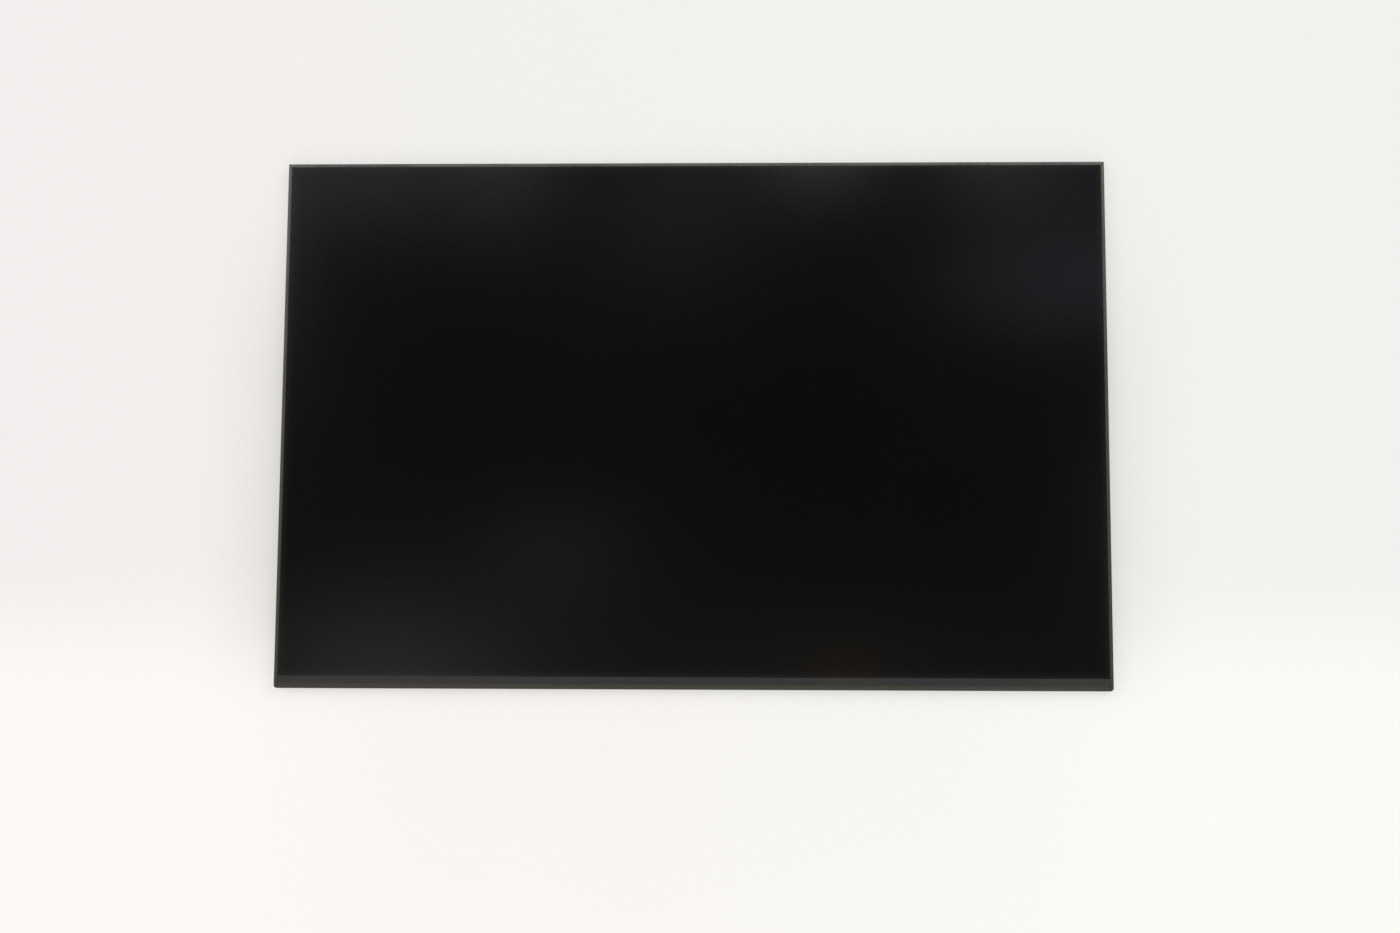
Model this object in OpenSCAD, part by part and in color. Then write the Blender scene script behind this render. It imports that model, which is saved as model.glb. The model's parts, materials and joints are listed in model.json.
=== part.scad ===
// Bare laptop screen panel, 14 inch 16:10, narrow border, with its control board folded behind the bottom edge.
// It lies on its back: X runs along the width, Y towards the panel's top edge and Z out of the screen.
// The origin is at the middle of the outline, on the surface that the panel lies on.

/* [Picture] */
// Width of the active picture area
active_w = 301.6; // [288:0.1:350]
// Height of the active picture area
active_h = 188.5; // [170:0.1:220]
// Black mask between the picture and the polarizer's left and right edges
mask_side = 1.3; // [1:0.1:3]
// Black mask between the picture and the polarizer's top edge
mask_top = 1.15; // [1:0.1:3]
// Black mask between the picture and the polarizer's bottom edge
mask_bottom = 1.75; // [1:0.1:3]

/* [Cell] */
// Thickness of each of the two glass plates
glass_t = 0.25; // [0.2:0.05:0.5]
// Glass that shows past the front polarizer at the left and right
glass_margin_side = 0.44; // [0.1:0.02:0.6]
// Glass that shows past the front polarizer at the top
glass_margin_top = 0.44; // [0.1:0.02:0.6]
// Colour filter glass that shows past the front polarizer at the bottom
glass_margin_bottom = 0.47; // [0.4:0.05:1.2]
// Array glass that stands past the colour filter glass to carry the driver films
glass_ledge = 2.95; // [2.8:0.05:4.5]
// Cut across each glass corner
glass_corner = 0.4; // [0.2:0.1:0.8]
// Thickness of the front polarizer with its matt coat
front_polarizer_t = 0.14; // [0.1:0.01:0.25]
// Thickness of the rear polarizer
rear_polarizer_t = 0.12; // [0.08:0.01:0.2]
// Thickness of the tape ring that holds the cell on the frame
cell_tape_t = 0.08; // [0.05:0.01:0.15]

/* [Backlight] */
// Thickness of the white reflector sheet
reflector_t = 0.19; // [0.1:0.01:0.3]
// Thickness of the light guide
guide_t = 0.5; // [0.45:0.05:0.8]
// Thickness of the lower diffuser sheet
lower_diffuser_t = 0.08; // [0.05:0.01:0.15]
// Thickness of each prism sheet
prism_t = 0.12; // [0.08:0.01:0.2]
// Thickness of the upper diffuser sheet
upper_diffuser_t = 0.1; // [0.05:0.01:0.2]
// Free height above the loose sheets
sheet_gap = 0.06; // [0.04:0.01:0.2]
// Room for the sheets and the guide to grow, at the left, right and top
sheet_play = 0.4; // [0.3:0.05:0.6]
// Number of light emitting diodes along the bottom edge
led_count = 48; // [30:1:60]
// Length, depth and height of one diode
led_size = [3.8, 0.6, 0.4];
// Distance from the diodes to the edge of the light guide
led_gap = 0.05; // [0.03:0.01:0.15]
// Thickness of the flexible board that carries the diodes
bar_t = 0.12; // [0.08:0.01:0.15]
// Overlap of the flexible board on the light guide
bar_overlap = 1.9; // [1.5:0.1:2.3]
// Thickness of the tape between the flexible board and the light guide
bar_tape_t = 0.05; // [0.03:0.01:0.08]
// Width of the tail that leads from the diodes to the control board
tail_w = 9; // [6:0.5:14]

/* [Frame and plate] */
// Thickness of the moulded frame's side and top walls
frame_wall = 0.5; // [0.4:0.05:0.9]
// Thickness of the moulded frame's bottom wall
bottom_wall = 0.6; // [0.5:0.05:1]
// Thickness of the shelf that carries the cell
shelf_t = 0.25; // [0.2:0.05:0.4]
// Reach of the shelf inwards from the walls
shelf_reach = 1.2; // [0.9:0.05:1.5]
// Gap between the frame's walls and the glass
glass_gap = 0.1; // [0.05:0.01:0.2]
// Sheet thickness of the rear plate
plate_t = 0.25; // [0.2:0.05:0.35]
// Gap between the plate's walls and the frame
plate_gap = 0.05; // [0.03:0.01:0.1]
// Corner radius at the two ends of the panel's bottom edge
corner_r = 1.2; // [0.8:0.1:1.6]
// Outside radius where the plate folds up into its walls
plate_bend = 0.4; // [0.36:0.02:0.5]
// Height of the plate's side and top walls
plate_wall_h = 1.55; // [1.3:0.05:1.7]
// Height of the plate's bottom wall
plate_foot_h = 1.3; // [1.1:0.05:1.4]
// Depth of the pressed field in the plate
field_depth = 0.25; // [0.1:0.05:0.5]
// Distance from the outline to the pressed field at the sides and top
field_inset = 12; // [8:0.5:20]
// Distance from the bottom edge to the pressed field
field_foot = 24; // [22:0.5:40]
// Corner radius of the pressed field
field_r = 6; // [3:0.5:12]
// Width of the sloping step round the pressed field
field_slope = 0.6; // [0.4:0.1:1.5]
// Diameter of the four locating holes in the plate
locating_d = 2.6; // [1.5:0.1:4]
// Distance from the outline's left and right edges to the locating holes
locating_side = 30; // [20:1:60]
// Distance from the top edge, and from the foot of the pressed field, to the locating holes
locating_margin = 6; // [4:0.5:8]
// Diameter of the two pips on the plate that locate the control board
pip_d = 1.3; // [0.8:0.1:1.6]
// Length of each snap lug on the frame
lug_l = 5; // [3:0.5:8]
// Height of each snap lug on the frame
lug_h = 0.4; // [0.3:0.05:0.5]
// Play round each lug in its window
lug_play = 0.1; // [0.05:0.05:0.2]

/* [Tapes] */
// Thickness of the black edge tapes
tape_t = 0.06; // [0.04:0.01:0.1]
// Glass that shows between the tapes and the front polarizer
tape_gap = 0.15; // [0.05:0.05:0.2]
// Width of the edge tapes on the back
tape_back_w = 4; // [2:0.5:6]
// Thickness of the black tape over the bottom strip
cover_t = 0.08; // [0.05:0.01:0.12]
// Outside radius where that tape turns round the bottom edge
cover_bend = 0.8; // [0.76:0.02:1]

/* [Driver films] */
// Number of driver films along the bottom edge
film_count = 4; // [4:1:4]
// Width of each driver film
film_w = 28; // [20:1:36]
// Thickness of each driver film
film_t = 0.06; // [0.04:0.01:0.08]
// Length of each driver film's bond on the glass and on the board
film_bond = 1.5; // [1:0.1:2]
// Length, depth and height of one driver chip
driver_size = [18, 1, 0.3];

/* [Control board] */
// Height of the control board
board_h = 9.5; // [9:0.5:12]
// Thickness of the control board
board_t = 0.5; // [0.4:0.05:0.8]
// Board past the outer driver films at each end
board_end = 4; // [3:0.5:8]
// Thickness of the tape that holds the board
board_tape_t = 0.1; // [0.05:0.01:0.15]
// Thickness of the film that covers the board
board_cover_t = 0.08; // [0.05:0.01:0.15]
// Thickness of the two grounding foils
foil_t = 0.05; // [0.03:0.01:0.08]
// Width of the two grounding foils
foil_w = 12; // [8:0.5:14]
// Overlap of each foil on the board
foil_overlap = 2; // [1:0.5:3]
// Distance from the foils' ends to the pressed field
foil_margin = 4; // [2:0.5:6]
// Overlap of the cover film on the plate
cover_overlap = 3.2; // [2:0.2:5]

/* [Board parts] */
// Side and height of the timing controller
controller_size = [6, 0.75];
// Side and height of the power chip
power_size = [5, 0.75];
// Side and height of the level shifter
shifter_size = [4, 0.75];
// Side and height of the backlight driver
backlight_size = [3, 0.75];
// Width, depth and height of the settings memory
memory_size = [2, 3, 0.55];
// Side of the inductors
inductor_w = 3.2; // [2.5:0.1:4]
// Height of the inductors
inductor_h = 1; // [0.8:0.1:1.2]
// Width, depth and height of a rectifier diode
diode_size = [1.6, 2.6, 0.8];
// Width, length and height of a large capacitor
large_capacitor = [1.25, 2, 0.85];
// Width, length and height of a small capacitor
small_capacitor = [0.5, 1, 0.5];
// Width, length and height of a resistor
resistor = [0.5, 1, 0.35];
// Free space between neighbouring parts
part_gap = 1.2; // [0.8:0.1:1.4]
// Free space between neighbouring small parts
small_gap = 0.8; // [0.6:0.1:1]

/* [Socket] */
// Number of contacts in the display socket
contact_count = 30; // [20:2:30]
// Distance between neighbouring contacts
contact_pitch = 0.5; // [0.4:0.05:0.5]
// Width of one contact
contact_w = 0.2; // [0.15:0.01:0.22]
// Height of the socket above the board
socket_h = 1.1; // [1.05:0.05:1.3]
// Depth of the socket from its mouth to its back
socket_d = 3.5; // [3.2:0.1:4]
// Sheet thickness of the socket's shell
shell_t = 0.15; // [0.1:0.01:0.2]
// Plastic beyond the last contact at each end of the socket
socket_end = 2.1; // [1.8:0.1:3]

/* [Hidden] */

// Small running distance between films and what they pass
skim = 0.02;
// Facets in one turn of a folded film or sheet
bend_steps = 6;

// Distances inwards from the outline at the left, right and top
in_plate = tape_t;
in_frame = in_plate + plate_t + plate_gap;
in_cavity = in_frame + frame_wall;
in_glass = in_cavity + glass_gap;
rim_side = in_glass + glass_margin_side;
rim_top = in_glass + glass_margin_top;
in_shelf = in_cavity + shelf_reach;
in_sheets = in_cavity + sheet_play;

// Distances upwards from the bottom edge of the outline
up_film = cover_t + skim;
up_plate = up_film + film_t + skim;
up_frame = up_plate + plate_t + plate_gap;
up_cavity = up_frame + bottom_wall;
up_array = up_cavity + glass_gap;
up_filter = up_array + glass_ledge;
up_polarizer = up_filter + glass_margin_bottom;
up_active = up_polarizer + mask_bottom;
up_bar = up_cavity + glass_gap;
up_led = up_bar + 0.9;
up_guide = up_led + led_size[1] + led_gap;
up_bar_end = up_guide + bar_overlap;
up_sheets = up_bar_end + 0.2;
up_shelf = up_sheets + 0.4;

// Outline of the whole panel
panel_w = active_w + 2 * (mask_side + rim_side);
panel_h = up_active + active_h + mask_top + rim_top;

// Heights above the back face of the rear plate
z_reflector = plate_t;
z_guide = z_reflector + reflector_t;
z_lower_diffuser = z_guide + guide_t;
z_lower_prism = z_lower_diffuser + lower_diffuser_t;
z_upper_prism = z_lower_prism + prism_t;
z_upper_diffuser = z_upper_prism + prism_t;
z_bar = z_lower_diffuser + bar_tape_t;
z_shelf = z_upper_diffuser + upper_diffuser_t + sheet_gap;
z_cell_tape = z_shelf + shelf_t;
z_rear_polarizer = z_cell_tape + cell_tape_t;
z_array = z_rear_polarizer + rear_polarizer_t;
z_filter = z_array + glass_t;
z_front = z_filter + glass_t;
z_lip = plate_wall_h;
z_cover = z_filter + film_t + skim;

// Heights below the back face of the rear plate, which count down
z_board = -board_tape_t - board_t;
z_board_cover = z_board - max(socket_h - board_cover_t, inductor_h + skim);
z_cover_back = z_board - bar_t - skim;
lift = board_cover_t - z_board_cover;

// Control board and what stands on it
film_pitch = active_w / film_count;
up_driver = cover_bend + 0.1;
up_board = up_driver + driver_size[1] + 0.3;
up_board_end = up_board + board_h;
board_w = film_pitch * (film_count - 1) + film_w + 2 * board_end;
up_cover_end = up_board + film_bond + 0.6;
parts_up = up_cover_end + small_gap;
parts_mid = (parts_up + up_board_end - 0.4) / 2;
socket_x = -film_pitch;
socket_w = (contact_count - 1) * contact_pitch + 2 * socket_end;
up_socket = up_board + 0.3;
socket_clear = socket_w / 2 + 4;
tail_x = film_pitch;
foil_left_x = -board_w / 2 + foil_w / 2 + 1;
foil_right_x = board_w / 2 - foil_w / 2 - 1;
small_step = small_capacitor[0] + small_gap;
small_row = small_capacitor[1] + small_gap;
pip_x = foil_left_x + foil_w / 2 + part_gap;
up_pip = up_board_end - pip_d - 0.5;
blocks_x = pip_x + pip_d / 2 + part_gap + small_capacitor[0] / 2;
controller_x = blocks_x + 2 * small_step + part_gap + controller_size[0] / 2;
memory_x = controller_x + controller_size[0] / 2 + 2 * part_gap + memory_size[0] / 2;
power_x = socket_x + socket_clear + part_gap + power_size[0] / 2;
power_coil_x = power_x + power_size[0] / 2 + part_gap + inductor_w / 2;
power_diode_x = power_coil_x + 1.5 * inductor_w + 2 * part_gap + diode_size[0] / 2;
power_end_x = power_diode_x + diode_size[0] / 2 + part_gap + large_capacitor[0] / 2;
shifter_x = film_x(2) + film_w / 2;
backlight_x = tail_x + tail_w / 2 + 3 * part_gap + backlight_size[0] / 2;
backlight_coil_x = backlight_x + backlight_size[0] / 2 + part_gap + inductor_w / 2;
backlight_diode_x = backlight_coil_x + inductor_w / 2 + part_gap + diode_size[0] / 2;
backlight_end_x = backlight_diode_x + diode_size[0] / 2 + part_gap + large_capacitor[0] / 2;
cover_start_x = power_end_x + large_capacitor[0] / 2 + part_gap;
cover_end_x = foil_right_x - foil_w / 2 - 2 * part_gap;
notch_x = socket_clear - socket_x + 3;
wrap_half = board_w / 2 + 2;

// Snap lugs: how many on the top wall and on each side wall
lugs_top = 6;
lugs_side = 4;

// A step in which a 2D shape is grown to cut cleanly
cut = 1;

function unit(v) = v / norm(v);
function left_of(v) = [-v[1], v[0]];
function turned(v, angle) = [v[0] * cos(angle) - v[1] * sin(angle), v[0] * sin(angle) + v[1] * cos(angle)];

// Points of one rounded corner at q, between the directions a and b
function corner(q, a, b, r) =
    r <= 0 ? [q] :
    let (side = sign(a[0] * b[1] - a[1] * b[0]),
        angle = acos(a * b),
        centre = q - a * r * tan(angle / 2) + side * r * left_of(a))
    [for (i = [0:bend_steps]) centre - side * r * left_of(turned(a, side * angle * i / bend_steps))];

// A path with its inner corners rounded, one radius to a corner
function bent(path, radii) = concat(
    [path[0]],
    [for (i = [1:len(path) - 2])
        each corner(path[i], unit(path[i] - path[i - 1]), unit(path[i + 1] - path[i]), radii[i - 1])],
    [path[len(path) - 1]]);

// Offset of point i of a path for a thickness of 1 on its left side
function mitre(path, i) =
    let (last = len(path) - 1,
        a = unit(path[max(i, 1)] - path[max(i, 1) - 1]),
        b = unit(path[min(i, last - 1) + 1] - path[min(i, last - 1)]))
    (left_of(a) + left_of(b)) / (1 + a * b);

// Outline of a strip of thickness t on the left side of a path, or on its right side where t is negative
function strip(path, t) = concat(path, [for (i = [len(path) - 1:-1:0]) path[i] + t * mitre(path, i)]);

// Turns a profile of (distance up from the bottom edge, height) into a solid between two places along X
module along_x(x0, x1) {
    translate([x0, -panel_h / 2, 0]) rotate([90, 0, 90]) linear_extrude(x1 - x0) children();
}

// Turns a profile of (distance in from the left edge, height) into a solid between two distances up
module along_left(up0, up1) {
    translate([-panel_w / 2, up1 - panel_h / 2, 0]) rotate([90, 0, 0]) linear_extrude(up1 - up0) children();
}

// Turns a profile of (distance in from the top edge, height) into a solid between two places along X
module along_top(x0, x1) {
    translate([x1, panel_h / 2, 0]) rotate([90, 0, -90]) linear_extrude(x1 - x0) children();
}

// A rectangle given by its distances in from the outline
module inset(side, foot, top) {
    translate([side - panel_w / 2, foot - panel_h / 2]) square([panel_w - 2 * side, panel_h - foot - top]);
}

// A sheet given by its distances in from the outline
module layer(side, foot, top, z, t) {
    translate([0, 0, z]) linear_extrude(t) inset(side, foot, top);
}

// The outline drawn in by a distance, with its two bottom corners rounded
module rounded_foot(d) {
    translate([d - panel_w / 2, corner_r - panel_h / 2]) square([panel_w - 2 * d, panel_h - corner_r + cut]);
    translate([corner_r - panel_w / 2, d - panel_h / 2]) square([panel_w - 2 * corner_r, corner_r]);
    for (x = [-1, 1])
        translate([x * (panel_w / 2 - corner_r), corner_r - panel_h / 2]) circle(corner_r - d, $fn = 64);
}

// A rectangle with round corners, centred
module round_rect(w, h, r) {
    square([w - 2 * r, h], center = true);
    square([w, h - 2 * r], center = true);
    for (x = [-1, 1], y = [-1, 1])
        translate([x * (w / 2 - r), y * (h / 2 - r)]) circle(r, $fn = 48);
}

// A triangle that cuts a corner of the outline's inset rectangle across
module corner_cut(side, foot, top, sx, sy, c) {
    x = sx * (panel_w / 2 - side);
    y = sy > 0 ? panel_h / 2 - top : foot - panel_h / 2;
    polygon([[x + sx * cut, y + sy * cut], [x - sx * (c + cut), y + sy * cut], [x - sx * c, y],
        [x, y - sy * c], [x + sx * cut, y - sy * (c + cut)]]);
}

// A sheet with one corner cut across, by which it is put in the right way up
module marked_sheet(z, t, sx, sy) {
    translate([0, 0, z]) linear_extrude(t) difference() {
        inset(in_sheets, up_sheets, in_sheets);
        corner_cut(in_sheets, up_sheets, in_sheets, sx, sy, 2);
    }
}

// A glass plate with its four corners cut across
module glass(foot, z) {
    translate([0, 0, z]) linear_extrude(glass_t) difference() {
        inset(in_glass, foot, in_glass);
        for (sx = [-1, 1], sy = [-1, 1]) corner_cut(in_glass, foot, in_glass, sx, sy, glass_corner);
    }
}

// Middles of the snap lugs along X and along Y
function lug_x(i) = (i - (lugs_top - 1) / 2) * active_w / lugs_top;
function lug_y(i) = (i - (lugs_side - 1) / 2) * active_h / lugs_side;

// Blocks at each snap lug, from the frame's wall outwards: l is their length, z0 to z1 their height, reach their depth
module lug_blocks(l, z0, z1, reach) {
    for (i = [0:lugs_top - 1])
        translate([lug_x(i) - l / 2, panel_h / 2 - in_frame, z0]) cube([l, reach, z1 - z0]);
    for (i = [0:lugs_side - 1], side = [0, 1])
        mirror([side, 0, 0]) translate([-panel_w / 2 + in_frame - reach, lug_y(i) - l / 2, z0])
            cube([reach, l, z1 - z0]);
}

lug_z = z_guide + 0.1;

// The step round the pressed field: a sloping band of sheet with round corners
module field_step(w, h, r, slope) {
    profile = [[0, -field_depth], [slope, 0], [slope, plate_t], [0, plate_t - field_depth]];
    for (side = [0, 1]) {
        mirror([side, 0, 0]) translate([w / 2, h / 2 - r, 0]) rotate([90, 0, 0])
            linear_extrude(h - 2 * r) polygon(profile);
        mirror([0, side, 0]) translate([-w / 2 + r, h / 2, 0]) rotate([90, 0, 90])
            linear_extrude(w - 2 * r) polygon(profile);
        for (end = [0, 1])
            mirror([side, 0, 0]) mirror([0, end, 0]) translate([w / 2 - r, h / 2 - r, 0])
                rotate_extrude(angle = 90, $fn = 96) translate([r, 0]) polygon(profile);
    }
}

field_w = panel_w - 2 * field_inset;
field_h = panel_h - field_inset - field_foot;
field_y = (field_foot - field_inset) / 2;

// Pressed sheet tray with folded walls, windows for the snap lugs and a raised field
module rear_plate() {
    relief = plate_bend + plate_t;
    side_wall = strip(bent([[relief, 0], [in_plate, 0], [in_plate, plate_wall_h]], [plate_bend]), -plate_t);
    foot_wall = strip(bent([[up_plate + relief, 0], [up_plate, 0], [up_plate, plate_foot_h]], [plate_bend]),
        -plate_t);
    color("silver") difference() {
        union() {
            linear_extrude(plate_t) difference() {
                inset(relief, up_plate + relief, relief);
                translate([0, field_y]) round_rect(field_w + 2 * field_slope, field_h + 2 * field_slope,
                    field_r + field_slope);
            }
            translate([0, field_y, 0]) field_step(field_w, field_h, field_r, field_slope);
            translate([0, field_y, -field_depth]) linear_extrude(plate_t) round_rect(field_w, field_h, field_r);
            for (side = [0, 1]) mirror([side, 0, 0])
                along_left(up_plate + 2 * relief, panel_h - 2 * relief) polygon(side_wall);
            along_top(-panel_w / 2 + 2 * relief, panel_w / 2 - 2 * relief) polygon(side_wall);
            along_x(-panel_w / 2 + 2 * relief, panel_w / 2 - 2 * relief) polygon(foot_wall);
        }
        lug_blocks(lug_l + 2 * lug_play, lug_z - lug_play, lug_z + lug_h + lug_play, cut);
        // gap in the bottom wall for the tail of the light bar
        translate([tail_x - tail_w / 2 - 0.5, -panel_h / 2 - cut, -cut])
            cube([tail_w + 1, cut + up_frame + 0.4, plate_foot_h + 2 * cut]);
        for (x = [-1, 1], y = [field_foot, panel_h])
            translate([x * (panel_w / 2 - locating_side), y - locating_margin - panel_h / 2, -cut])
                cylinder(h = plate_t + 2 * cut, d = locating_d, $fn = 48);
        for (x = [-1, 1])
            translate([x * pip_x, up_pip - panel_h / 2, plate_t * 0.2]) cylinder(h = cut, d = pip_d, $fn = 48);
    }
    // half-sheared pips that stand in the board's two holes
    color("silver") for (x = [-1, 1])
        translate([x * pip_x, up_pip - panel_h / 2, -plate_t * 0.8]) cylinder(h = plate_t, d = pip_d, $fn = 48);
}

// Moulded frame: walls inside the plate, a front rim over the plate's walls and a shelf under the cell
module mid_frame() {
    foot = plate_bend;
    rim_round = 0.25;
    rim = concat([[in_cavity, z_lip], [in_cavity, z_front]],
        corner([in_plate, z_front], [-1, 0], [0, -1], rim_round), [[in_plate, z_lip]]);
    // the bottom wall's top edge is rounded inside the turn of the driver films
    turn_r = z_filter - skim - (z_cover + cover_t - cover_bend);
    turn_up = cover_bend;
    start = acos(min(1, max(0, (turn_up - up_frame) / turn_r)));
    bottom = concat([[up_frame, foot]],
        [for (i = [0:bend_steps]) let (a = 180 - start + (start - 90) * i / bend_steps)
            [turn_up + turn_r * cos(a), z_filter - skim - turn_r + turn_r * sin(a)]],
        [[max(up_cavity, turn_up + skim), z_filter - skim], [max(up_cavity, turn_up + skim), foot]]);
    color([0.08, 0.08, 0.08]) difference() {
        intersection() {
            linear_extrude(z_front) rounded_foot(in_plate);
            frame_walls(rim, bottom, foot, rim_round);
        }
        // gap in the bottom wall for the tail of the light bar
        translate([tail_x - tail_w / 2 - 0.3, -panel_h / 2 - cut, z_bar - 0.3])
            cube([tail_w + 0.6, cut + up_cavity + skim, bar_t + 0.3 + skim]);
    }
}

// The frame's walls, rim, shelf and lugs, before its corners are rounded
module frame_walls(rim, bottom, foot, rim_round) {
    // side and top walls
    difference() {
        layer(in_frame, up_frame + 0.5, in_frame, foot, z_lip - foot);
        layer(in_cavity, up_frame - cut, in_cavity, 0, z_front);
    }
    // front rim
    for (side = [0, 1]) mirror([side, 0, 0]) along_left(up_frame, panel_h - in_cavity) polygon(rim);
    along_top(-panel_w / 2 + in_plate + rim_round, panel_w / 2 - in_plate - rim_round) polygon(rim);
    // bottom wall
    along_x(-panel_w / 2 + in_frame, panel_w / 2 - in_frame) polygon(bottom);
    // shelf all round
    difference() {
        layer(in_cavity - skim, up_cavity - skim, in_cavity - skim, z_shelf, shelf_t);
        layer(in_shelf, up_shelf, in_shelf, 0, z_front);
    }
    // deeper shelf over the light bar
    along_x(-panel_w / 2 + in_cavity - skim, panel_w / 2 - in_cavity + skim)
        translate([up_cavity - skim, z_bar + bar_t + skim])
            square([up_bar_end + 0.1 - up_cavity + skim, z_cell_tape - z_bar - bar_t - skim]);
    lug_blocks(lug_l, lug_z, lug_z + lug_h, plate_gap + plate_t * 0.6);
}

// White sheet behind the light guide
module reflector_sheet() {
    color("white") layer(in_cavity + 0.1, up_cavity + 0.1, in_cavity + 0.1, z_reflector, reflector_t);
}

// Clear plate that spreads the light, with a notch at each end of the lit edge
module light_guide() {
    notch = [6, 1];
    color([0.85, 0.92, 0.95, 0.6]) translate([0, 0, z_guide]) linear_extrude(guide_t) difference() {
        inset(in_cavity + 0.25, up_guide, in_cavity + 0.25);
        for (x = [-1, 1])
            translate([x * (panel_w / 2 - in_cavity - notch[0] / 2), up_guide - panel_h / 2])
                square([notch[0], 2 * notch[1]], center = true);
    }
}

module lower_diffuser() { color([0.95, 0.95, 0.93]) marked_sheet(z_lower_diffuser, lower_diffuser_t, 1, 1); }
module lower_prism_sheet() { color([0.9, 0.92, 0.95]) marked_sheet(z_lower_prism, prism_t, -1, 1); }
module upper_prism_sheet() { color([0.88, 0.9, 0.94]) marked_sheet(z_upper_prism, prism_t, 1, -1); }
module upper_diffuser() { color([0.96, 0.96, 0.96]) marked_sheet(z_upper_diffuser, upper_diffuser_t, -1, -1); }

bar_half = panel_w / 2 - in_cavity - 1.5;

// Flexible board over the diodes; its tail leaves through the bottom wall and turns round to the control board
module light_bar_flex() {
    turns = [0.25, cover_bend - cover_t - skim - bar_t];
    tail_end = parts_up + 2.4;
    path = [[up_bar + 0.5, z_bar], [up_film + bar_t, z_bar], [up_film + bar_t, z_board], [tail_end, z_board]];
    color([0.85, 0.75, 0.4]) {
        along_x(-bar_half, bar_half) translate([up_bar, z_bar]) square([up_bar_end - up_bar, bar_t]);
        along_x(tail_x - tail_w / 2, tail_x + tail_w / 2) polygon(strip(bent(path, turns), -bar_t));
    }
}

// Row of side-lit diodes under the flexible board, each with a shallow window towards the light guide
module light_bar_leds() {
    pitch = (2 * bar_half - led_size[0] - 2) / (led_count - 1);
    window = [led_size[0] - 0.6, 0.1, led_size[2] - 0.16];
    color([1, 0.95, 0.7]) for (i = [0:led_count - 1])
        translate([(i - (led_count - 1) / 2) * pitch, up_led + led_size[1] / 2 - panel_h / 2, z_bar - led_size[2] / 2])
            difference() {
                cube(led_size, center = true);
                translate([0, led_size[1] / 2, 0]) cube(window, center = true);
            }
}

// Thin tape between the flexible board and the light guide
module light_bar_tape() {
    color([0.9, 0.9, 0.85]) along_x(-bar_half + 6, bar_half - 6)
        translate([up_guide + 0.2, z_lower_diffuser]) square([bar_overlap - 0.3, bar_tape_t]);
}

// Black ring of tape between the shelf and the rear polarizer
module cell_tape() {
    color([0.1, 0.1, 0.1]) difference() {
        layer(rim_side + 0.05, up_filter - 0.1, rim_top + 0.05, z_cell_tape, cell_tape_t);
        layer(in_shelf - 0.05, up_shelf - 0.1, in_shelf - 0.05, z_cell_tape - cut, cell_tape_t + 2 * cut);
    }
}

module rear_polarizer() {
    color([0.2, 0.2, 0.22]) layer(rim_side, up_filter - 0.2, rim_top, z_rear_polarizer, rear_polarizer_t);
}

module array_glass() { color([0.6, 0.75, 0.7, 0.6]) glass(up_array, z_array); }

module filter_glass() { color([0.15, 0.18, 0.17]) glass(up_filter, z_filter); }

module front_polarizer() {
    color([0.03, 0.03, 0.035]) layer(rim_side, up_polarizer, rim_top, z_front, front_polarizer_t);
}

// Profile of an edge tape: on the glass and rim, round the side and onto the plate's back
function edge_profile(rim) = strip(bent(
    [[rim - tape_gap, z_front], [tape_t, z_front], [tape_t, 0], [tape_back_w, 0]], [0.2, 0.3]), -tape_t);

// Keeps what lies nearer to the left or right edge than to the top edge, or the other way round
module mitre_zone(beside) {
    gap = beside ? 0.03 : -0.03;
    translate([0, 0, -cut]) linear_extrude(z_front + 2 * cut) for (s = [-1, 1]) {
        x = s * panel_w / 2;
        y = panel_h / 2 - gap;
        if (beside)
            polygon([[x + s * cut, y + cut], [x - s * 20, y - 20], [x - s * 20, -panel_h / 2 - cut],
                [x + s * cut, -panel_h / 2 - cut]]);
    }
    if (!beside)
        translate([0, 0, -cut]) linear_extrude(z_front + 2 * cut)
            polygon([for (s = [-1, 1], p = s < 0 ? [[-20, -20], [cut, cut]] : [[cut, cut], [-20, -20]])
                [s * (panel_w / 2 + p[0]), panel_h / 2 - gap + p[1]]]);
}

module edge_tape_left() {
    color([0.12, 0.12, 0.12]) intersection() {
        along_left(skim, panel_h) polygon(edge_profile(rim_side));
        mitre_zone(true);
        translate([0, 0, -cut]) linear_extrude(z_front + 2 * cut) rounded_foot(0);
    }
}

module edge_tape_right() {
    mirror([1, 0, 0]) edge_tape_left();
}

module edge_tape_top() {
    color([0.12, 0.12, 0.12]) intersection() {
        along_top(-panel_w / 2, panel_w / 2) polygon(edge_profile(rim_top));
        mitre_zone(false);
    }
}

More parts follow.
